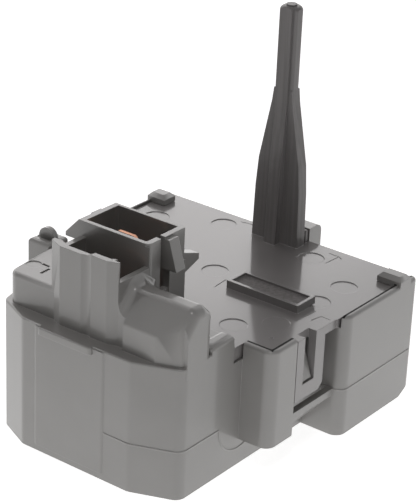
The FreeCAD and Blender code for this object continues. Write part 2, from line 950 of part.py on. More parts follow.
def post():
    foot = lid_z - lid_thick / 2
    long_arm = arm_loft([(foot, post_long_foot), (post_low_z, post_long_low), (post_mid_z, post_long_mid),
                         (post_high_z, post_long_high), (post_high_z + post_arm, post_long_tip),
                         (post_z, post_long_tip)], True)
    short_arm = arm_loft([(foot, post_short_foot), (post_mid_z, post_short_mid),
                          (post_high_z, post_short_high), (post_z, post_short_tip)], False)
    shaft_z = post_z - post_disc_high
    bound = post_round(post_x, post_y, foot, post_high_z + post_arm, reach)
    tip = post_round(post_x, post_y, foot, shaft_z, post_tip_r)
    tip = tip.makeFillet(post_tip_round, top_edges(tip, shaft_z))
    arms = long_arm.fuse(short_arm).common(bound.fuse(tip))
    return arms.fuse(post_round(post_x, post_y, shaft_z - post_arm, post_z, post_disc_r))


def make_lid():
    plate = prism(lid_outline(), lid_z - lid_thick, lid_z)
    tab = box(tab_left_x, tab_right_x, tab_front_y, tab_rear_y, lid_z - tab_drop, lid_z)
    loop, window = latch()
    lip = box(rear_lug_left_x, rear_lug_right_x, rear_y - lip_gap - lip_thick, rear_y - lip_gap,
              lid_z - lid_thick / 2, rear_lug_high_z)
    body = plate.fuse([tab, loop, raised_frame(), lip, post()])
    body = body.cut(window)
    return body.removeSplitter()


def blade(x, y, z0, tip_z):
    half = blade_wide / 2
    points = [
        (x - half, z0),
        (x + half, z0),
        (x + half, tip_z - blade_taper),
        (x + half - blade_taper, tip_z),
        (x - half + blade_taper, tip_z),
        (x - half, tip_z - blade_taper),
    ]
    body = profile_along_y(points, y - blade_thick / 2, y + blade_thick / 2)
    hole_z = tip_z - blade_wide / 2
    hole = Part.makeCylinder(blade_thick, reach, V(x, y - reach / 2, hole_z), V(0, 1, 0))
    return body.cut(hole)


def make_line_tab():
    return blade(line_x, line_y, socket_z + fit_gap, line_tip_z)


def make_neutral_tab():
    return blade(neutral_x, neutral_y, link_z + strip_thick + fit_gap, neutral_tip_z)


def make_socket(index):
    # Split sleeve with a flared mouth that grips one pin
    x, y = pin_places()[index]
    foot = floor_thick + fit_gap
    r = socket_r()
    sleeve = post_round(x, y, foot, socket_z, r)
    mouth = Part.makeCone(pin_r + socket_flare, pin_r, 2 * socket_flare, V(x, y, foot))
    sleeve = sleeve.cut(post_round(x, y, foot - fit_gap, reach, pin_r))
    sleeve = sleeve.cut(mouth)
    return sleeve.cut(box(x - socket_slot / 2, x + socket_slot / 2, y, y + 2 * r,
                          foot + socket_band, reach))


def strip_z():
    return socket_z + fit_gap


def plate(corners):
    return prism([(x, y, r) for x, y, r in corners], strip_z(), strip_z() + strip_thick)


def make_common_bus():
    half = strip_wide / 2
    x0 = common_x0()
    end_y = divide_y - wall - strip_wide
    return plate([
        (-half, half, strip_round),
        (-half, common_turn_y - half, strip_round),
        (x0, common_turn_y - half, 0),
        (x0, end_y, 0),
        (x0 + strip_wide, end_y, 0),
        (x0 + strip_wide, common_turn_y + half, strip_round),
        (half, common_turn_y + half, 0),
        (half, half, strip_round),
    ])


def make_start_bus():
    half = strip_wide / 2
    return plate([
        (start_left_x, pin_spread_y - half, strip_round),
        (half - pin_spread_x, pin_spread_y - half, strip_round),
        (half - pin_spread_x, pin_spread_y + half, strip_round),
        (start_left_x, pin_spread_y + half, strip_round),
    ])


def make_run_bus():
    half = strip_wide / 2
    x = pin_spread_x
    y = pin_spread_y
    return plate([
        (run_left_x - half, run_left_y, strip_round),
        (run_left_x + half, run_left_y, strip_round),
        (run_left_x + half, run_back_y - half, 0),
        (x - half, run_back_y - half, 0),
        (x - half, y - half, strip_round),
        (link_x + half, y - half, strip_round),
        (link_x + half, y + half, strip_round),
        (x + half, y + half, 0),
        (x + half, run_back_y + half, strip_round),
        (run_left_x - half, run_back_y + half, strip_round),
    ])


def make_neutral_link():
    # Flat strip over the protector and a leg that comes down onto the run strip
    half = strip_wide / 2
    left = neutral_x - blade_wide / 2
    top = prism([
        (left, neutral_y - half, strip_round),
        (link_x + half, neutral_y - half, strip_round),
        (link_x + half, pin_spread_y, 0),
        (link_x - half, pin_spread_y, 0),
        (link_x - half, neutral_y + half, 0),
        (left, neutral_y + half, strip_round),
    ], link_z, link_z + strip_thick)
    foot_z = strip_z() + strip_thick + fit_gap
    leg = box(link_x - half, link_x + half, pin_spread_y - strip_thick, pin_spread_y, foot_z,
              link_z + strip_thick)
    return top.fuse(leg).removeSplitter()


def make_disc():
    disc = Part.makeCylinder(disc_r, disc_thick, V(disc_x - disc_thick / 2, disc_y, disc_z), V(1, 0, 0))
    rims = [e for e in disc.Edges if e.BoundBox.XLength < fit_gap]
    return disc.makeFillet(disc_edge, rims)


def make_spring(face_x, way, mid_y):
    # Leaf with a foot on its strip and a bow that presses on the disc
    t = spring_thick
    foot_z = strip_z() + strip_thick + fit_gap
    touch = face_x + way * fit_gap
    back = touch + way * spring_set
    outer = [
        (back + way * spring_foot, foot_z),
        (back, foot_z),
        (touch, spring_touch_z - spring_flat),
        (touch, spring_touch_z + spring_flat),
        (back, spring_tip_z),
        (back + way * t, spring_tip_z),
        (touch + way * t, spring_touch_z + spring_flat),
        (touch + way * t, spring_touch_z - spring_flat),
        (back + way * t, foot_z + t),
        (back + way * spring_foot, foot_z + t),
    ]
    return profile_along_y(outer, mid_y - spring_wide / 2, mid_y + spring_wide / 2)


def make_case():
    # Moulded cup, open downward, with a hole for the stud and one for each rivet
    y = protector_y()
    top = protector_top()
    cup = post_round(protector_x, y, case_foot_z, top, case_r)
    cup = cup.makeFillet(case_wall / 3, top_edges(cup, top))
    cup = cup.cut(post_round(protector_x, y, case_foot_z - wall, top - case_top, case_r - case_wall))
    cup = cup.cut(post_round(protector_x, y, 0, reach, stud_r + fit_gap))
    for side in (-1, 1):
        cup = cup.cut(post_round(protector_x + side * contact_x, y, 0, reach, rivet_r + fit_gap))
    return cup


def make_cover():
    y = protector_y()
    inner = case_r + fit_gap
    outer = inner + cover_thick
    cup = post_round(protector_x, y, cover_foot_z, case_foot_z + cover_lap, outer)
    cup = cup.makeFillet(cover_thick, top_edges(cup, cover_foot_z))
    return cup.cut(post_round(protector_x, y, cover_foot_z + cover_thick, reach, inner))


def contact_face_z():
    return protector_top() - case_top - fit_gap - contact_thick


def make_fixed_contacts():
    y = protector_y()
    low = contact_face_z()
    top = protector_top() + strip_thick + fit_gap
    rivets = []
    for side in (-1, 1):
        x = protector_x + side * contact_x
        rivet = post_round(x, y, low, low + contact_thick, contact_r)
        rivet = rivet.fuse(post_round(x, y, low, top + rivet_head, rivet_r))
        rivets.append(rivet.fuse(post_round(x, y, top, top + rivet_head, rivet_head_r)).removeSplitter())
    return Part.makeCompound(rivets)


def moving_foot_z():
    return contact_face_z() - fit_gap - contact_thick


def make_moving_contacts():
    y = protector_y()
    low = moving_foot_z()
    faces = []
    for side in (-1, 1):
        faces.append(post_round(protector_x + side * contact_x, y, low, low + contact_thick, contact_r))
    return Part.makeCompound(faces)


def make_bimetal():
    # Dished disc with a hole for the stud
    y = protector_y()
    top = moving_foot_z() - fit_gap
    low = top - bimetal_thick
    rise = bimetal_dish
    profile = Part.makePolygon([
        V(protector_x + stud_r + fit_gap, y, low - rise),
        V(protector_x + bimetal_r, y, low),
        V(protector_x + bimetal_r, y, top),
        V(protector_x + stud_r + fit_gap, y, top - rise),
        V(protector_x + stud_r + fit_gap, y, low - rise),
    ])
    return Part.Face(profile).revolve(V(protector_x, y, 0), V(0, 0, 1), full_turn)


def make_stud():
    y = protector_y()
    under = moving_foot_z() - fit_gap - bimetal_thick - bimetal_dish - fit_gap
    shaft = post_round(protector_x, y, under, protector_top() + stud_over, stud_r)
    return shaft.fuse(post_round(protector_x, y, under - stud_head, under, stud_head_r)).removeSplitter()


def make_nut():
    y = protector_y()
    turn = 2 * math.pi / nut_sides
    r = nut_wide / 2 / math.cos(turn / 2)
    corners = []
    for i in range(nut_sides):
        corners.append((protector_x + r * math.cos(turn * i), y + r * math.sin(turn * i), 0))
    low = protector_top() + fit_gap
    body = prism(corners, low, low + nut_high)
    return body.cut(post_round(protector_x, y, 0, reach, stud_r + fit_gap))


def make_heater():
    y = protector_y()
    ring = post_round(protector_x, y, heater_z, heater_z + heater_thick, heater_r)
    ring = ring.cut(post_round(protector_x, y, 0, reach, heater_r - heater_wide))
    return ring.cut(box(protector_x - heater_gap / 2, protector_x + heater_gap / 2, y, y + case_r, 0, reach))


def terminal_plate(corners):
    low = protector_top()
    return prism(corners, low + fit_gap / 2, low + strip_thick)


def rivet_hole(side):
    return post_round(protector_x + side * contact_x, protector_y(), 0, reach, rivet_r + fit_gap)


def make_line_terminal():
    half = strip_wide / 2
    y = protector_y()
    left = line_x - blade_wide / 2
    right = protector_x - contact_x + contact_r
    top_y = line_y + half / 2
    plate_shape = terminal_plate([
        (left, y - half, strip_round),
        (right, y - half, strip_round),
        (right, y + half, strip_round),
        (line_x + blade_wide / 2, y + half, 0),
        (line_x + blade_wide / 2, top_y, strip_round),
        (left, top_y, strip_round),
    ])
    return plate_shape.cut(rivet_hole(-1))


def make_common_terminal():
    half = strip_wide / 2
    y = protector_y()
    inner = protector_x + contact_x - contact_r
    outer = common_x0() + strip_wide
    end_y = divide_y - wall - slide_gap
    plate_shape = terminal_plate([
        (inner, y - half, strip_round),
        (outer, y - half, strip_round),
        (outer, end_y, 0),
        (inner, end_y, 0),
    ])
    return plate_shape.cut(rivet_hole(1))


def build():
    start_face = disc_x + disc_thick / 2
    run_face = disc_x - disc_thick / 2
    return {
        "housing": make_housing(),
        "lid": make_lid(),
        "line_tab": make_line_tab(),
        "neutral_tab": make_neutral_tab(),
        "common_pin_socket": make_socket(0),
        "start_pin_socket": make_socket(1),
        "run_pin_socket": make_socket(2),
        "common_bus": make_common_bus(),
        "start_bus": make_start_bus(),
        "run_bus": make_run_bus(),
        "neutral_link": make_neutral_link(),
        "thermistor_disc": make_disc(),
        "start_contact_spring": make_spring(start_face, 1, pin_spread_y),
        "run_contact_spring": make_spring(run_face, -1, disc_y + disc_r / 4),
        "protector_case": make_case(),
        "protector_cover": make_cover(),
        "fixed_contacts": make_fixed_contacts(),
        "moving_contacts": make_moving_contacts(),
        "bimetal_disc": make_bimetal(),
        "protector_stud": make_stud(),
        "protector_nut": make_nut(),
        "heater_strip": make_heater(),
        "protector_line_terminal": make_line_terminal(),
        "protector_common_terminal": make_common_terminal(),
    }


def main():
    os.makedirs("parts", exist_ok=True)
    for node, shape in build().items():
        shape.exportStep("parts/" + node + ".step")
        size = shape.BoundBox
        print(node, len(shape.Solids), shape.isValid(), round(shape.Volume, 1),
              [round(v, 2) for v in (size.XMin, size.YMin, size.ZMin, size.XMax, size.YMax, size.ZMax)])


main()
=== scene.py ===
# %% [markdown]
# # A compressor start relay
#
# The relay plugs onto the three pins of a refrigerator's compressor. It is one grey moulded
# housing with a lid that clips on. The measured solids come in ready made. This script gives them
# their surfaces, adds the marks that the mould leaves, and sets up the light and the camera of the
# product photo.

# %% Load the measured pieces
import json
import math

import bmesh
import bpy
from mathutils import Matrix, Vector


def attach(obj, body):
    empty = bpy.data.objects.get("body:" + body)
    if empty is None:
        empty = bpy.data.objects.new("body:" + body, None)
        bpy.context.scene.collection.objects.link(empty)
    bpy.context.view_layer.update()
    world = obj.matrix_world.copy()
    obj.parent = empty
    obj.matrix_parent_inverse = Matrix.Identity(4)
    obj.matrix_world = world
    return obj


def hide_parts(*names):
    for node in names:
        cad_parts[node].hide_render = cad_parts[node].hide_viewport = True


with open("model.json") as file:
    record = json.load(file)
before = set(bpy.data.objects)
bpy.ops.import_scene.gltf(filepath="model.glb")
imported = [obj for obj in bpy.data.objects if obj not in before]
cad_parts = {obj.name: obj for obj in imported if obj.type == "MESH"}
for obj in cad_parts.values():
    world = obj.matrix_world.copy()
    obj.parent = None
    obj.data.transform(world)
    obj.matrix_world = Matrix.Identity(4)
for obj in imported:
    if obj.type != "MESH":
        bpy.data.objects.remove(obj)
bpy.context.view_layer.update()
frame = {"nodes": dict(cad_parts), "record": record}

mm = 0.001
print("pieces:", len(frame["nodes"]))

# %% [markdown]
# ## Small helpers for the materials
#
# Every finish is a tree of nodes. Writing each node out would take pages, so a few helpers keep
# the trees short. One adds a node and sets its values by name, and one makes a fresh material with
# a plain shader at its end. The others work out sums and mix colours, and take a number, a colour
# or another node's output alike.

# %% Helpers that add nodes
def add_node(tree, kind, **values):
    node = tree.nodes.new(kind)
    for name, value in values.items():
        if hasattr(node, name):
            setattr(node, name, value)
        else:
            node.inputs[name.replace("_", " ")].default_value = value
    return node


def new_material(name, colour, roughness, metallic=0.0):
    material = bpy.data.materials.new(name)
    material.use_nodes = True
    tree = material.node_tree
    shader = tree.nodes["Principled BSDF"]
    shader.inputs["Base Color"].default_value = (*colour, 1)
    shader.inputs["Roughness"].default_value = roughness
    shader.inputs["Metallic"].default_value = metallic
    place = add_node(tree, "ShaderNodeTexCoord")
    return material, tree, shader, place.outputs["Object"]


def feed(tree, socket, value):
    # A number or a colour is set, and another node's output is linked
    if isinstance(value, (int, float)):
        socket.default_value = value
    elif isinstance(value, tuple):
        socket.default_value = (*value, 1)
    else:
        tree.links.new(value, socket)


def work_out(tree, operation, first, second):
    node = add_node(tree, "ShaderNodeMath", operation=operation)
    feed(tree, node.inputs[0], first)
    feed(tree, node.inputs[1], second)
    return node.outputs[0]


def mix_colours(tree, share, first, second):
    # Input 0 is the share and 6 and 7 are the colours, as those between are for other kinds of mix
    node = add_node(tree, "ShaderNodeMix", data_type="RGBA")
    feed(tree, node.inputs[0], share)
    feed(tree, node.inputs[6], first)
    feed(tree, node.inputs[7], second)
    return node.outputs[2]


print("node helpers ready")

# %% [markdown]
# ## Patterns
#
# Moulded and rolled surfaces are never quite even. A photo of a real surface could show that, but
# it would need unwrapping and would have seams, so noise does it here. All patterns read the
# Object coordinates in metres, and a scale of 1000 is one wave a millimetre. A stretched noise
# makes streaks, and a change of range turns any noise into a share or a roughness.

# %% Helpers that make patterns
whole = (0.0, 1.0)


def noise(tree, place, scale, detail, roughness):
    node = add_node(tree, "ShaderNodeTexNoise", Scale=scale, Detail=detail, Roughness=roughness)
    tree.links.new(place, node.inputs["Vector"])
    return node.outputs["Fac"]


def streaks(tree, place, waves, detail, roughness):
    # The waves a metre along x, y and z do the scaling, so the noise itself keeps a scale of 1
    node = add_node(tree, "ShaderNodeMapping", Scale=waves)
    tree.links.new(place, node.inputs["Vector"])
    return noise(tree, node.outputs["Vector"], 1.0, detail, roughness)


def remap(tree, value, given, wanted):
    node = add_node(tree, "ShaderNodeMapRange", From_Min=given[0], From_Max=given[1],
                    To_Min=wanted[0], To_Max=wanted[1])
    tree.links.new(value, node.inputs["Value"])
    return node.outputs["Result"]


def bump(tree, shader, height, strength, deep_mm, rounded=None):
    node = add_node(tree, "ShaderNodeBump", Strength=strength, Distance=deep_mm * mm)
    tree.links.new(height, node.inputs["Height"])
    if rounded:
        tree.links.new(rounded, node.inputs["Normal"])
    tree.links.new(node.outputs["Normal"], shader.inputs["Normal"])


print("pattern helpers ready")

# %% [markdown]
# ## Places with a finish of their own
#
# The tool that moulds the lid was polished, but the little pan and the post in it were left rough.
# The shade of the gap round the lid is painted on the rims' inner edges. Such places could be
# painted on an image. A box in the piece's own millimetres needs no image, and stays right when
# the piece is seen from any side.

# %% Helpers that find a place
def inside(tree, place, low, high, share):
    # The share inside the box from low to high in mm, and nought outside it
    middle = add_node(tree, "ShaderNodeVectorMath", operation="SUBTRACT")
    middle.inputs[1].default_value = [(a + b) / 2 * mm for a, b in zip(low, high)]
    tree.links.new(place, middle.inputs[0])
    away = add_node(tree, "ShaderNodeVectorMath", operation="ABSOLUTE")
    tree.links.new(middle.outputs[0], away.inputs[0])
    axes = add_node(tree, "ShaderNodeSeparateXYZ")
    tree.links.new(away.outputs[0], axes.inputs[0])
    result = share
    for axis, a, b in zip("XYZ", low, high):
        near = work_out(tree, "LESS_THAN", axes.outputs[axis], (b - a) / 2 * mm)
        result = work_out(tree, "MULTIPLY", result, near)
    return result


def in_any(tree, place, boxes):
    result = inside(tree, place, *boxes[0])
    for box in boxes[1:]:
        result = work_out(tree, "MAXIMUM", result, inside(tree, place, *box))
    return result


print("place helpers ready")

# %% [markdown]
# ## Edges of a moulding
#
# No mould has a perfectly sharp edge. Rounding each edge in the mesh would add thousands of
# faces. A bevel in the shader bends the light at the edges instead, and where it bends it most,
# the colour is mixed with a paler one, a painted highlight along each edge.

# %% Rounded and worn edges
flat_lean = 0.99
edge_lean = 0.8
edge_highlight_share = 0.7
edge_highlight_pale = 1.7


def rounded_edges(tree, edge_mm, samples):
    node = add_node(tree, "ShaderNodeBevel", samples=samples, Radius=edge_mm * mm)
    return node.outputs["Normal"]


def paint_edge_highlight(tree, rounded, colour, light):
    # The lean is 1 where the bevel leaves the surface as it is, and less toward an edge
    flat = add_node(tree, "ShaderNodeNewGeometry")
    lean = add_node(tree, "ShaderNodeVectorMath", operation="DOT_PRODUCT")
    tree.links.new(rounded, lean.inputs[0])
    tree.links.new(flat.outputs["Normal"], lean.inputs[1])
    # Painted highlight: the colour turns paler toward each edge, for the light that the rounded edges
    # catch
    painted_highlight = remap(tree, lean.outputs["Value"], (flat_lean, edge_lean), (0.0, edge_highlight_share))
    return mix_colours(tree, painted_highlight, colour, tuple(v * edge_highlight_pale for v in light))


print("worn edges are paler, times", edge_highlight_pale)

# %% [markdown]
# ## Moulded plastic
#
# The housing and lid are moulded in a filled grey plastic. A spark-eroded mould leaves a fine
# grain, and the flow of the plastic leaves faint cloudy patches. The coat is the smooth skin of
# the moulding, which mirrors sharply. One rougher shader could show either the mirroring or the
# dull body, but not both. In a dull place the skin is missing, and fine upright lines of another
# shade show the marks of the tool there. Where their tint is near black, the same lines are
# painted shade instead.

# %% Plastic finish
plastic_ior = 1.5
skin_roughness = 0.1
cloud_scale = 55.0
cloud_span = (0.3, 0.7)
cloud_smoother = 0.04
cloud_rougher = 0.05
grain_scale = 1400.0
grain_strength = 0.35
tool_line_waves = (1300.0, 1300.0, 25.0)
tool_line_span = (0.35, 0.65)
dull_gloss = 0.05


def plastic(name, dark, light, roughness, grain_mm, edge_mm,
            skin=0.0, gloss=0.5, dull_boxes=(), tool_and_shade_tint=(1, 1)):
    material, tree, shader, place = new_material(name, light, roughness)
    shader.inputs["IOR"].default_value = plastic_ior
    shader.inputs["Specular IOR Level"].default_value = gloss
    shader.inputs["Coat Weight"].default_value = skin
    shader.inputs["Coat Roughness"].default_value = skin_roughness
    flow = noise(tree, place, cloud_scale, detail=4.0, roughness=0.55)
    cloud = remap(tree, flow, cloud_span, whole)
    rounded = rounded_edges(tree, edge_mm, samples=6)
    colour = paint_edge_highlight(tree, rounded, mix_colours(tree, cloud, dark, light), light)
    if dull_boxes:
        dull = in_any(tree, place, dull_boxes)
        tree.links.new(remap(tree, dull, whole, (skin, 0.0)), shader.inputs["Coat Weight"])
        dulled = remap(tree, dull, whole, (gloss, dull_gloss))
        tree.links.new(dulled, shader.inputs["Specular IOR Level"])
        lines = streaks(tree, place, tool_line_waves, detail=2.0, roughness=0.5)
        # With a near black tint these lines are painted shade, as on the housing's rims round the lid
        tool_lines_and_shade = mix_colours(tree, remap(tree, lines, tool_line_span, whole),
                             tuple(v * tool_and_shade_tint[0] for v in dark),
                             tuple(v * tool_and_shade_tint[1] for v in light))
        colour = mix_colours(tree, dull, colour, tool_lines_and_shade)
    tree.links.new(colour, shader.inputs["Base Color"])
    uneven = remap(tree, cloud, whole, (roughness - cloud_smoother, roughness + cloud_rougher))
    tree.links.new(uneven, shader.inputs["Roughness"])
    grain = noise(tree, place, grain_scale, detail=2.0, roughness=0.6)
    bump(tree, shader, grain, grain_strength, grain_mm, rounded)
    tree.links.new(rounded, shader.inputs["Coat Normal"])
    return material


print("grain in waves a millimetre:", grain_scale * mm)

# %% [markdown]
# ## The two greys
#
# The housing is a satin grey. The lid is a little redder and shinier, as if from a smoother tool.
# The lid's pan and post are dull places. So are the inner edges of the rims round the lid, where
# the shade of the gap is painted nearly black. The gap could be cut as a deep groove, but the
# solids have to keep their shape. Each box is its low corner, its high corner and the share of
# the finish that it takes over.

# %% Housing and lid plastic
pan_floor = ((6.8, -4.4, 28.7), (23.7, 0.4, 29.1), 1.0)
post_room = ((-8.0, 16.0, 27.8), (7.0, 29.0, 84.0), 0.75)
right_rim_edge = ((32.6, -0.9, 27.9), (33.25, 25.7, 28.5), 1.0)
block_front_edge = ((24.6, -23.05, 27.9), (31.1, -22.4, 28.5), 1.0)
block_side_edge = ((30.4, -23.05, 27.9), (31.1, -15.6, 28.5), 1.0)
# Painted shade: the near black tint on the rims' inner edges stands for the shadow in the gap round
# the lid
gap_shade_tint = (0.1, 0.16)
worked_tint = (0.93, 1.08)
housing_dark = (0.225, 0.219, 0.211)
housing_light = (0.252, 0.245, 0.237)
lid_dark = (0.215, 0.205, 0.203)
lid_light = (0.242, 0.231, 0.229)
housing_plastic = plastic(
    "housing plastic", housing_dark, housing_light, roughness=0.42, grain_mm=0.02, edge_mm=0.14,
    skin=0.7, dull_boxes=(right_rim_edge, block_front_edge, block_side_edge), tool_and_shade_tint=gap_shade_tint)
lid_plastic = plastic(
    "lid plastic", lid_dark, lid_light, roughness=0.42, grain_mm=0.015, edge_mm=0.2,
    skin=1.0, gloss=0.25, dull_boxes=(pan_floor, post_room), tool_and_shade_tint=worked_tint)
print("plastics:", housing_plastic.name, lid_plastic.name)

# %% [markdown]
# ## Metals
#
# The blades, strips and sockets are stamped from rolled sheet. The rolls leave fine streaks along
# the strip, and the air darkens the metal in patches. The streaks drive the roughness and a very
# low bump, because streaks in the colour alone would look painted.

# %% Metal finish
streak_waves = (40.0, 900.0, 900.0)
upright_waves = (900.0, 900.0, 60.0)
bimetal_waves = (60.0, 900.0, 900.0)
streak_span = (0.25, 0.75)
streak_smoother = 0.08
streak_rougher = 0.14
patch_scale = 260.0
patch_span = (0.42, 0.72)
patch_share = 0.8
metal_edge_mm = 0.08
metal_bump_strength = 0.25
metal_bump_mm = 0.01


def metal(name, colour, tarnish, roughness, waves=streak_waves):
    material, tree, shader, place = new_material(name, colour, roughness, metallic=1.0)
    patches = noise(tree, place, patch_scale, detail=5.0, roughness=0.6)
    share = remap(tree, patches, patch_span, (0.0, patch_share))
    tree.links.new(mix_colours(tree, share, colour, tarnish), shader.inputs["Base Color"])
    lines = streaks(tree, place, waves, detail=4.0, roughness=0.6)
    uneven = remap(tree, lines, streak_span, (roughness - streak_smoother, roughness + streak_rougher))
    tree.links.new(uneven, shader.inputs["Roughness"])
    rounded = rounded_edges(tree, metal_edge_mm, samples=4)
    bump(tree, shader, lines, metal_bump_strength, metal_bump_mm, rounded)
    return material


def even(waves):
    # Drawn and turned pieces have no long streaks, so their noise is the same each way
    return waves, waves, waves


print("streaks in waves a millimetre:", [round(v * mm, 2) for v in streak_waves])

# %% [markdown]
# ## Ceramic
#
# The disc that cuts off the start winding is pressed from powder and fired. Its grains differ in
# shade, and some lie higher than others. Separate noises would put the dark spots anywhere, so one
# noise drives the colour, the roughness and the bump together.

# %% Ceramic finish
ceramic_scale = 900.0
ceramic_span = (0.3, 0.7)
ceramic_rougher = 0.1
ceramic_bump_strength = 0.4
ceramic_bump_mm = 0.02


def ceramic(name, colour, dark, roughness):
    material, tree, shader, place = new_material(name, colour, roughness)
    grains = noise(tree, place, ceramic_scale, detail=5.0, roughness=0.65)
    shade = remap(tree, grains, ceramic_span, whole)
    tree.links.new(mix_colours(tree, shade, dark, colour), shader.inputs["Base Color"])
    uneven = remap(tree, shade, whole, (roughness - ceramic_rougher, roughness + ceramic_rougher))
    tree.links.new(uneven, shader.inputs["Roughness"])
    bump(tree, shader, grains, ceramic_bump_strength, ceramic_bump_mm)
    return material


print("ceramic grains in waves a millimetre:", ceramic_scale * mm)

# %% [markdown]
# ## Colours of the inner pieces
#
# Each metal has a fresh colour and an old one for its tarnished patches. Copper and brass go
# brown, and steel and silver only grow duller. The disc and the protector's case have a light and
# a dark shade instead. The colours could be picked from a picture, but nearly all of these pieces
# are hidden in the housing, so they follow the real metals, ceramic and moulding.

# %% Fresh and old colours
blade_fresh = (0.80, 0.44, 0.30)
blade_old = (0.45, 0.22, 0.14)
brass_fresh = (0.80, 0.64, 0.34)
brass_old = (0.50, 0.38, 0.18)
strip_fresh = (0.76, 0.43, 0.30)
strip_old = (0.42, 0.22, 0.15)
spring_fresh = (0.60, 0.60, 0.58)
spring_old = (0.42, 0.41, 0.40)
cover_fresh = (0.56, 0.56, 0.54)
cover_old = (0.36, 0.35, 0.33)
silver_fresh = (0.86, 0.85, 0.82)
silver_old = (0.60, 0.57, 0.52)
bimetal_fresh = (0.62, 0.58, 0.52)
bimetal_old = (0.48, 0.42, 0.36)
stud_fresh = (0.58, 0.57, 0.55)
stud_old = (0.40, 0.39, 0.37)
disc_light = (0.44, 0.42, 0.39)
disc_dark = (0.30, 0.28, 0.26)
case_dark = (0.030, 0.026, 0.022)
case_light = (0.050, 0.044, 0.038)
print("fresh copper and brass:", blade_fresh, brass_fresh)

# %% [markdown]
# ## A finish for each piece
#
# The record names a material slot for every piece, such as the brass of the sockets or the dark
# moulding of the protector's case. The finishes could be put on by hand, piece by piece. One table
# and a loop are shorter, and no piece can be missed.

# %% Finishes by slot
finishes = {
    "copper_blade": metal(
        "copper blade", blade_fresh, blade_old, roughness=0.32, waves=upright_waves),
    "socket_brass": metal("socket brass", brass_fresh, brass_old, roughness=0.34),
    "strip_copper": metal("strip copper", strip_fresh, strip_old, roughness=0.36),
    "spring_steel": metal("spring steel", spring_fresh, spring_old, roughness=0.30),
    "cover_steel": metal(
        "cover steel", cover_fresh, cover_old, roughness=0.38, waves=even(300.0)),
    "contact_silver": metal(
        "contact silver", silver_fresh, silver_old, roughness=0.25, waves=even(400.0)),
    "bimetal": metal(
        "bimetal sheet", bimetal_fresh, bimetal_old, roughness=0.32, waves=bimetal_waves),
    "stud_steel": metal(
        "stud steel", stud_fresh, stud_old, roughness=0.33, waves=even(500.0)),
    "disc_ceramic": ceramic("disc ceramic", disc_light, disc_dark, roughness=0.55),
    "case_phenolic": plastic(
        "case phenolic", case_dark, case_light, roughness=0.45, grain_mm=0.02, edge_mm=0.15),
    "housing_plastic": housing_plastic,
    "lid_plastic": lid_plastic,
}
slot_of = {part["node"]: part["material_slot"] for part in frame["record"]["subparts"]}
for node, obj in frame["nodes"].items():
    obj.data.materials.clear()
    obj.data.materials.append(finishes[slot_of[node]])
print("finishes:", len(finishes))

# %% [markdown]
# ## Surfaces without facets
#
# The solids arrive as loose triangles with a hard edge at each one, but a moulding is smooth. The
# solid itself is left as it is. A copy is welded here, gets its marks and its smooth shading
# later, and stands in for the solid in the picture.

# %% Weld a copy of a piece
weld_mm = 0.002


def welded_copy(node, name):
    mesh = frame["nodes"][node].data.copy()
    work = bmesh.new()
    work.from_mesh(mesh)
    bmesh.ops.remove_doubles(work, verts=work.verts, dist=weld_mm * mm)
    bmesh.ops.recalc_face_normals(work, faces=work.faces)
    work.to_mesh(mesh)
    work.free()
    copy = bpy.data.objects.new(name, mesh)
    bpy.context.collection.objects.link(copy)
    print(name, "faces:", len(mesh.polygons))
    return copy


lid_copy = welded_copy("lid", "lid_surface")
housing_copy = welded_copy("housing", "housing_surface")

# %% [markdown]
# ## Marks of the mould
#
# Ejector pins push the hot moulding out of its tool, and each leaves a shallow round sink. The
# plastic flows in at the gate, which leaves a fainter one, and two thin pins leave small pits.
# Joints between the tool's inserts leave fine short lines. A bump could show them, but a real cut
# catches the light at its rim. The places are read off the photo, in the part's own millimetres.

# %% Where the marks are
sink_r = 2.95
sink_deep = 0.16
gate_deep = 0.04
pit_r = 0.45
tier_sink_r = 1.7
lid_line_wide = 0.2
lid_line_deep = 0.12
tier_line_wide = 0.6
tier_line_deep = 0.35
lid_top = 27.7
tier_top = 36.5
lid_sinks = [(-14.6, 20.9), (-1.0, -0.1), (17.6, -18.1), (10.8, 19.4), (24.6, 12.1), (24.3, 2.3),
             (-28.6, 13.7)]
gate_places = [(23.75, -11.6)]
pit_places = [(8.35, 17.85), (26.9, -17.6)]
tier_sinks = [(-19.55, -37.9)]
lid_lines = [
    ((-12.4, 24.5), (-9.6, 25.1)),
    ((4.0, -6.8), (3.6, -2.2)),
    ((12.5, 24.1), (15.1, 24.1)),
    ((15.1, 24.1), (16.25, 23.35)),
    ((15.1, 24.1), (14.8, 19.2)),
    ((26.3, -5.6), (26.6, -1.6)),
    ((28.3, -5.7), (28.9, -2.75)),
    ((28.9, -2.75), (31.3, -2.9)),
]
tier_lines = [((-18.3, -36.6), (-16.3, -36.7)), ((-15.5, -40.2), (-15.6, -37.4))]
print("sinks:", len(lid_sinks) + len(tier_sinks), "lines:", len(lid_lines) + len(tier_lines))

# %% [markdown]
# ## Points and line cutters
#
# A round sink only needs a point, because the node tree sets a cutter on it. A line needs a thin
# bar that runs from one end to the other. Both are helper objects that never show in a picture.

# %% Helper objects for the marks
def hidden_object(name, mesh):
    obj = bpy.data.objects.new(name, mesh)
    bpy.context.collection.objects.link(obj)
    obj.hide_render = True
    obj.hide_viewport = True
    return obj


def points_object(name, places, z):
    mesh = bpy.data.meshes.new(name)
    mesh.from_pydata([(x * mm, y * mm, z * mm) for x, y in places], [], [])
    return hidden_object(name, mesh)


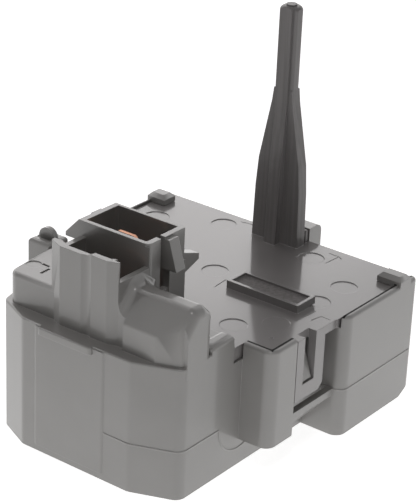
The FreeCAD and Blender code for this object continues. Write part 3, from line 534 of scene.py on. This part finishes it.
def line_cutters(name, lines, z, wide, deep):
    # Half of a bar stands above the surface, so it is twice as high as the line is deep
    work = bmesh.new()
    for (x0, y0), (x1, y1) in lines:
        start = Vector((x0, y0, z)) * mm
        end = Vector((x1, y1, z)) * mm
        turn = Matrix.Rotation(math.atan2(y1 - y0, x1 - x0), 4, "Z")
        size = Matrix.Diagonal(((end - start).length, wide * mm, 2 * deep * mm, 1))
        bar_place = Matrix.Translation((start + end) / 2) @ turn @ size
        bmesh.ops.create_cube(work, size=1, matrix=bar_place)
    mesh = bpy.data.meshes.new(name)
    work.to_mesh(mesh)
    work.free()
    return hidden_object(name, mesh)


lid_points = points_object("lid_marks", lid_sinks, lid_top)
gate_points = points_object("gate_mark", gate_places, lid_top)
pit_points = points_object("pit_marks", pit_places, lid_top)
tier_points = points_object("tier_marks", tier_sinks, tier_top)
lid_cutters = line_cutters("lid_grooves", lid_lines, lid_top, lid_line_wide, lid_line_deep)
tier_cutters = line_cutters("tier_grooves", tier_lines, tier_top, tier_line_wide, tier_line_deep)
helpers = (lid_points, gate_points, pit_points, tier_points, lid_cutters, tier_cutters)
print("helper objects:", len(helpers))

# %% [markdown]
# ## The tree that cuts the marks
#
# Each mark could be cut by hand with a modifier of its own. One node tree is easier to change. It
# sets a round cutter on each point, joins in the line cutters, and takes them all out of the
# surface in one go. Its inputs are the points, the lines, and the radius and depth of a sink, so
# the same tree makes the deep sinks of the pins, the faint one at the gate and the pits.

# %% Build the cutting tree
cutter_sides = 48


def tree_ends(tree):
    face = tree.interface
    face.new_socket("Geometry", in_out="INPUT", socket_type="NodeSocketGeometry")
    face.new_socket("Places", in_out="INPUT", socket_type="NodeSocketObject")
    face.new_socket("Grooves", in_out="INPUT", socket_type="NodeSocketObject")
    face.new_socket("Radius", in_out="INPUT", socket_type="NodeSocketFloat")
    face.new_socket("Depth", in_out="INPUT", socket_type="NodeSocketFloat")
    face.new_socket("Geometry", in_out="OUTPUT", socket_type="NodeSocketGeometry")
    return tree.nodes.new("NodeGroupInput"), tree.nodes.new("NodeGroupOutput")


def cutting_tree(name, material):
    tree = bpy.data.node_groups.new(name, "GeometryNodeTree")
    given, result = tree_ends(tree)
    link = tree.links.new
    places = tree.nodes.new("GeometryNodeObjectInfo")
    link(given.outputs["Places"], places.inputs["Object"])
    grooves = tree.nodes.new("GeometryNodeObjectInfo")
    link(given.outputs["Grooves"], grooves.inputs["Object"])
    # Half of a cutter stands above the surface, so it is twice as long as the sink is deep
    cutter_long = work_out(tree, "MULTIPLY", given.outputs["Depth"], 2.0)
    cutter = add_node(tree, "GeometryNodeMeshCylinder", Vertices=cutter_sides)
    link(given.outputs["Radius"], cutter.inputs["Radius"])
    link(cutter_long, cutter.inputs["Depth"])
    spread = tree.nodes.new("GeometryNodeInstanceOnPoints")
    link(places.outputs["Geometry"], spread.inputs["Points"])
    link(cutter.outputs["Mesh"], spread.inputs["Instance"])
    real = tree.nodes.new("GeometryNodeRealizeInstances")
    link(spread.outputs["Instances"], real.inputs["Geometry"])
    take = add_node(tree, "GeometryNodeMeshBoolean", operation="DIFFERENCE", solver="EXACT")
    link(given.outputs["Geometry"], take.inputs["Mesh 1"])
    link(real.outputs["Geometry"], take.inputs["Mesh 2"])
    link(grooves.outputs["Geometry"], take.inputs["Mesh 2"])
    last = tree.nodes.new("GeometryNodeRealizeInstances")
    link(take.outputs["Mesh"], last.inputs["Geometry"])
    paint = add_node(tree, "GeometryNodeSetMaterial", Material=material)
    link(last.outputs["Geometry"], paint.inputs["Geometry"])
    link(paint.outputs["Geometry"], result.inputs["Geometry"])
    return tree


lid_tree = cutting_tree("cut lid marks", lid_plastic)
housing_tree = cutting_tree("cut housing marks", housing_plastic)
print("nodes in the cutting tree:", len(lid_tree.nodes))

# %% [markdown]
# ## Cut the marks
#
# A modifier runs the tree on the welded copy. It could stay on the copy, but a plain mesh travels
# to other programs, so the result is kept and the modifier is taken away. The lid is cut in three
# passes, because its sinks, its gate and its pits differ in radius or depth.

# %% Run the trees
def run_tree(obj, tree, name, **values):
    # A modifier knows its inputs by their identifiers, so each name is looked up first
    modifier = obj.modifiers.new("nodes", "NODES")
    modifier.node_group = tree
    for item in tree.interface.items_tree:
        if item.in_out == "INPUT" and item.name in values:
            modifier[item.identifier] = values[item.name]
    bpy.context.view_layer.update()
    depsgraph = bpy.context.evaluated_depsgraph_get()
    mesh = bpy.data.meshes.new_from_object(obj.evaluated_get(depsgraph))
    obj.modifiers.remove(modifier)
    mesh.name = name
    return mesh


lid_passes = [
    (lid_points, lid_cutters, sink_r, sink_deep),
    (gate_points, None, sink_r, gate_deep),
    (pit_points, None, pit_r, sink_deep),
]
for places, grooves, radius, deep in lid_passes:
    lid_mesh = run_tree(lid_copy, lid_tree, "lid_surface", Places=places, Grooves=grooves,
                        Radius=radius * mm, Depth=deep * mm)
    lid_copy.data = lid_mesh
housing_mesh = run_tree(housing_copy, housing_tree, "housing_surface", Places=tier_points,
                        Grooves=tier_cutters, Radius=tier_sink_r * mm, Depth=sink_deep * mm)
for helper in helpers:
    bpy.data.objects.remove(helper)
print("faces with the marks:", len(lid_mesh.polygons), len(housing_mesh.polygons))

# %% [markdown]
# ## Smooth shading
#
# A moulding's broad faces are flat and its roundings are smooth. Smooth shading alone would bend
# the light on a broad face that has a rounding beside it. So edges sharper than 28 degrees stay
# hard, and so does each edge where a face square to the part's axes meets any other direction.
# Large faces then lead the small ones.

# %% Shade the copies and hand them over
sharp_degrees = 28
square_enough = 0.9999


def keep_square_faces_flat(mesh):
    work = bmesh.new()
    work.from_mesh(mesh)
    for edge in work.edges:
        faces = edge.link_faces
        square = [face.normal for face in faces if max(abs(v) for v in face.normal) > square_enough]
        ways = {tuple(round(v) for v in normal) for normal in square}
        if ways and (len(ways) > 1 or len(square) < len(faces)):
            edge.smooth = False
    work.to_mesh(mesh)
    work.free()


def smooth(copy, mesh):
    mesh.polygons.foreach_set("use_smooth", [True] * len(mesh.polygons))
    mesh.set_sharp_from_angle(angle=math.radians(sharp_degrees))
    keep_square_faces_flat(mesh)
    copy.data = mesh
    weigh = copy.modifiers.new("weigh", "WEIGHTED_NORMAL")
    weigh.mode = "FACE_AREA"
    weigh.weight = 100
    weigh.keep_sharp = True
    bpy.context.view_layer.update()
    depsgraph = bpy.context.evaluated_depsgraph_get()
    result = bpy.data.meshes.new_from_object(copy.evaluated_get(depsgraph))
    copy.modifiers.remove(weigh)
    return result


def finish_piece(copy, mesh, node):
    copy.data = smooth(copy, mesh)
    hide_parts(node)
    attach(copy, "root")
    print(copy.name, "faces:", len(mesh.polygons))


finish_piece(lid_copy, lid_mesh, "lid")
finish_piece(housing_copy, housing_mesh, "housing")

# %% [markdown]
# ## One look for the camera, another for the light
#
# The photo is a cut-out on white, taken over a bright table. All that white would be far too much
# light on the object. Two sets of objects could part the look from the light, but a ray knows what
# kind it is. So one shader goes to the camera and to shiny or clear surfaces, and another to the
# light that falls on the object.

# %% Helpers for the background
def sees_background(tree):
    # One for a ray from the camera, off a shiny surface or through a clear one
    path = add_node(tree, "ShaderNodeLightPath")
    first = work_out(tree, "MAXIMUM", path.outputs["Is Camera Ray"], path.outputs["Is Glossy Ray"])
    return work_out(tree, "MAXIMUM", first, path.outputs["Is Transmission Ray"])


def either_shader(tree, felt, seen):
    # Felt is the light that falls on the object, and seen is what the camera is shown
    node = add_node(tree, "ShaderNodeMixShader")
    tree.links.new(sees_background(tree), node.inputs["Fac"])
    tree.links.new(felt.outputs[0], node.inputs[1])
    tree.links.new(seen.outputs[0], node.inputs[2])
    return node.outputs["Shader"]


print("background helpers ready")

# %% [markdown]
# ## White ground
#
# The camera sees a white ground with the object's soft shadow on it. A lamp below could not shine
# through that ground, so as light on the object the ground itself glows, most near the middle. The
# low walls are light from it, and the post above stays dark.

# %% The ground
ground_half = 3.0
ground_drop = 0.0001
ground_white = (0.9, 0.9, 0.9)
ground_roughness = 0.9
seen_glow = 0.8
table_glow = 1.42
table_edge = 0.3
table_near = 120.0
table_far = 320.0

ground_mesh = bpy.data.meshes.new("ground")
corners = [(x * ground_half, y * ground_half, 0) for x, y in ((-1, -1), (1, -1), (1, 1), (-1, 1))]
ground_mesh.from_pydata(corners, [], [(0, 1, 2, 3)])
ground = bpy.data.objects.new("ground", ground_mesh)
ground.location.z = -ground_drop
bpy.context.collection.objects.link(ground)
white, tree, shader, place = new_material("white ground", ground_white, ground_roughness)
far = add_node(tree, "ShaderNodeVectorMath", operation="LENGTH")
tree.links.new(place, far.inputs[0])
table_light = remap(tree, far.outputs["Value"], (table_near * mm, table_far * mm),
                    (table_glow, table_edge))
table = add_node(tree, "ShaderNodeEmission")
tree.links.new(table_light, table.inputs["Strength"])
glow = add_node(tree, "ShaderNodeEmission", Strength=seen_glow)
shaded = add_node(tree, "ShaderNodeAddShader")
tree.links.new(shader.outputs["BSDF"], shaded.inputs[0])
tree.links.new(glow.outputs["Emission"], shaded.inputs[1])
ground_end = tree.nodes["Material Output"]
tree.links.new(either_shader(tree, table, shaded), ground_end.inputs["Surface"])
ground_mesh.materials.append(white)
print("table glow near and far:", table_glow, table_edge)

# %% [markdown]
# ## White surround
#
# Past the ground, the camera and the shiny surfaces see plain white too. A white world would also
# light the object from all sides and wash out its dark corners, so as light it is nearly black.

# %% The surround
surround_light = 0.05
plain_white = (1, 1, 1, 1)
world = bpy.data.worlds.new("white surround")
bpy.context.scene.world = world
world.use_nodes = True
tree = world.node_tree
for old in list(tree.nodes):
    tree.nodes.remove(old)
seen = add_node(tree, "ShaderNodeBackground", Color=plain_white)
felt = add_node(tree, "ShaderNodeBackground", Color=plain_white, Strength=surround_light)
surround_end = add_node(tree, "ShaderNodeOutputWorld")
tree.links.new(either_shader(tree, felt, seen), surround_end.inputs["Surface"])
print("surround light:", surround_light)

# %% [markdown]
# ## Soft lights
#
# Two broad panels stand behind the object, overlap toward its left and are mirrored in the lid. A
# single huge one would only mirror as an even white. Small lamps above the back, the left and the
# front pick out the edges. An azimuth of 0 is the front lobe's side and 90 is the latch's side. A
# glow of 1 makes a panel look as white as paper.

# %% The lamps
lamp_centre = Vector((0, -10, 20)) * mm
lamp_distance = 0.9
lamp_colour = (1.0, 0.97, 0.965)


def soft_light(name, azimuth, elevation, wide, high, glow):
    data = bpy.data.lights.new(name, "AREA")
    data.shape = "RECTANGLE"
    data.size = wide
    data.size_y = high
    data.energy = glow * math.pi * wide * high
    data.color = lamp_colour
    obj = bpy.data.objects.new(name, data)
    bpy.context.collection.objects.link(obj)
    a = math.radians(azimuth)
    e = math.radians(elevation)
    away = Vector((math.sin(a) * math.cos(e), -math.cos(a) * math.cos(e), math.sin(e)))
    obj.location = lamp_centre + away * lamp_distance
    obj.rotation_euler = away.to_track_quat("Z", "Y").to_euler()
    print(name, [round(v, 2) for v in obj.location])


soft_light("back panel", azimuth=216, elevation=20, wide=1.8, high=0.5, glow=0.6)
soft_light("back left", azimuth=259, elevation=20, wide=1.8, high=0.5, glow=0.6)
soft_light("back top", azimuth=205, elevation=45, wide=1.2, high=0.25, glow=0.6)
soft_light("front top", azimuth=36, elevation=65, wide=0.3, high=0.3, glow=4.0)
soft_light("left top", azimuth=-100, elevation=48, wide=0.35, high=0.25, glow=2.0)

# %% [markdown]
# ## Camera
#
# The photo's camera stands at the right front, looks down at 25 degrees and leans a little to one
# side. It could be moved by eye until the picture fits, but it was solved from the object's
# straight edges, which is surer. The focal length is in pixels of the photo, and Blender's lens
# follows from it for a film 36 mm wide.

# %% Camera of the photo
eye = Vector((221.56, -301.55, 206.05)) * mm
camera_azimuth = math.radians(36.70)
camera_elevation = math.radians(24.88)
camera_roll = math.radians(2.51)
focal_px = 1911.1
photo_wide_px = 416
film_wide = 36.0
nearest_seen = 0.01

right = Vector((math.cos(camera_azimuth), math.sin(camera_azimuth), 0))
back = Vector((math.sin(camera_azimuth) * math.cos(camera_elevation),
               -math.cos(camera_azimuth) * math.cos(camera_elevation),
               math.sin(camera_elevation)))
up = back.cross(right)
turned_right = right * math.cos(camera_roll) + up * math.sin(camera_roll)
turned_up = up * math.cos(camera_roll) - right * math.sin(camera_roll)
camera_data = bpy.data.cameras.new("photo camera")
camera_data.sensor_fit = "HORIZONTAL"
camera_data.sensor_width = film_wide
camera_data.lens = film_wide * focal_px / photo_wide_px
camera_data.clip_start = nearest_seen
camera = bpy.data.objects.new("photo camera", camera_data)
bpy.context.collection.objects.link(camera)
frame_of_view = Matrix((turned_right, turned_up, back)).transposed().to_4x4()
camera.matrix_world = Matrix.Translation(eye) @ frame_of_view
bpy.context.scene.camera = camera
bpy.context.scene.view_settings.view_transform = "Standard"
print("lens in mm:", round(camera_data.lens, 2))
